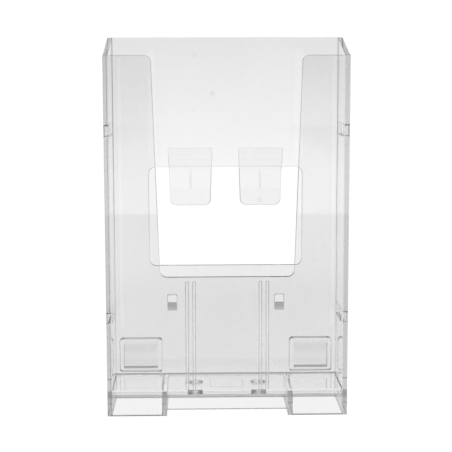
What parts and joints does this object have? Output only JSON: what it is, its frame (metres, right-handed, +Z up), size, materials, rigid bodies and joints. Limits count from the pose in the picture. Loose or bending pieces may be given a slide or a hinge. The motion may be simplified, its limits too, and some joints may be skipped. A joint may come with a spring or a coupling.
{
  "type": "brochure rack",
  "caption": "Clear open-top leaflet pocket with a cut-away front, a window and hanging hooks at the back, latch nibs, side linking slots and hollow feet.",
  "frame": {"origin": "middle of the whole object's box, hooks included, on the surface that the feet stand on", "axes": "+X to the right seen from the front, -Y out of the front face, +Z up"},
  "size_m": [0.158, 0.0548, 0.248],
  "materials": {
    "clear_panel": "polished, clear and colourless",
    "clear_rib": "polished, clear and colourless, thicker in section"
  },
  "bodies": {
    "root": {"back_panel": "clear_panel", "front_panel": "clear_panel", "left_side_wall": "clear_panel", "right_side_wall": "clear_panel", "floor_plate": "clear_panel", "floor_label_plate": "clear_rib", "left_foot_web": "clear_rib", "right_foot_web": "clear_rib", "left_hook": "clear_rib", "right_hook": "clear_rib", "left_hook_key": "clear_rib", "right_hook_key": "clear_rib", "left_outer_rail": "clear_rib", "left_inner_rail": "clear_rib", "right_inner_rail": "clear_rib", "right_outer_rail": "clear_rib", "left_latch_nib": "clear_rib", "right_latch_nib": "clear_rib", "left_stand_off": "clear_rib", "right_stand_off": "clear_rib"}
  },
  "joints": []
}
